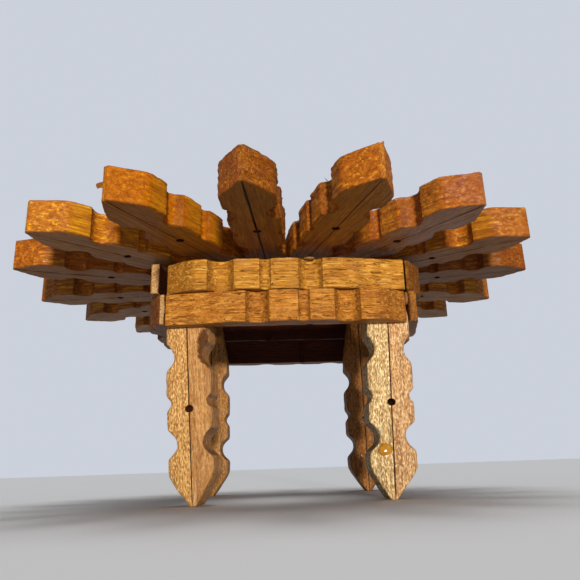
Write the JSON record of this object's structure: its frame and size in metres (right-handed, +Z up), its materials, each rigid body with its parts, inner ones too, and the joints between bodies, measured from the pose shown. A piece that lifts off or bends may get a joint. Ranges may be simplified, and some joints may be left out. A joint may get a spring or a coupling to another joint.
{
  "type": "miniature clothespin-wood stand",
  "caption": "Small round sunburst-top stand on short legs, glued up from varnished wooden clothespin halves; holds a small pot, cup or ornament.",
  "frame": {"origin": "on the floor under the middle of the outline seen from above, between the four feet", "axes": "+Z up out of the top, -Y towards the front pair of leaning legs, +X to the right seen from the front"},
  "size_m": [0.1776, 0.1788, 0.0829],
  "materials": {
    "ray_wood": "glossy red-brown varnish over rough-sawn beech",
    "rail_wood": "glossy honey-orange varnish over fine lengthwise grain",
    "leg_wood": "glossy light tan varnish over speckled grain",
    "varnish": "hardened clear amber drip"
  },
  "bodies": {
    "root": {"leg_back_left_left_half": "leg_wood", "leg_back_left_right_half": "leg_wood", "leg_back_right_left_half": "leg_wood", "leg_back_right_right_half": "leg_wood", "leg_front_left_left_half": "leg_wood", "leg_front_left_right_half": "leg_wood", "leg_front_right_left_half": "leg_wood", "leg_front_right_right_half": "leg_wood", "rail_back_lower": "rail_wood", "rail_back_upper": "rail_wood", "rail_front_lower": "rail_wood", "rail_front_upper": "rail_wood", "rail_left_lower": "rail_wood", "rail_left_upper": "rail_wood", "rail_right_lower": "rail_wood", "rail_right_upper": "rail_wood", "ray_01_a": "ray_wood", "ray_01_b": "ray_wood", "ray_02_a": "ray_wood", "ray_02_b": "ray_wood", "ray_03_a": "ray_wood", "ray_03_b": "ray_wood", "ray_04_a": "ray_wood", "ray_04_b": "ray_wood", "ray_05_a": "ray_wood", "ray_05_b": "ray_wood", "ray_06_a": "ray_wood", "ray_06_b": "ray_wood", "ray_07_a": "ray_wood", "ray_07_b": "ray_wood", "ray_08_a": "ray_wood", "ray_08_b": "ray_wood", "ray_09_a": "ray_wood", "ray_09_b": "ray_wood", "ray_10_a": "ray_wood", "ray_10_b": "ray_wood", "ray_11_a": "ray_wood", "ray_11_b": "ray_wood", "ray_12_a": "ray_wood", "ray_12_b": "ray_wood", "ray_13_a": "ray_wood", "ray_13_b": "ray_wood", "ray_14_a": "ray_wood", "ray_14_b": "ray_wood", "ray_15_a": "ray_wood", "ray_15_b": "ray_wood", "ray_16_a": "ray_wood", "ray_16_b": "ray_wood", "ray_17_a": "ray_wood", "ray_17_b": "ray_wood", "varnish_drip": "varnish"}
  },
  "joints": []
}
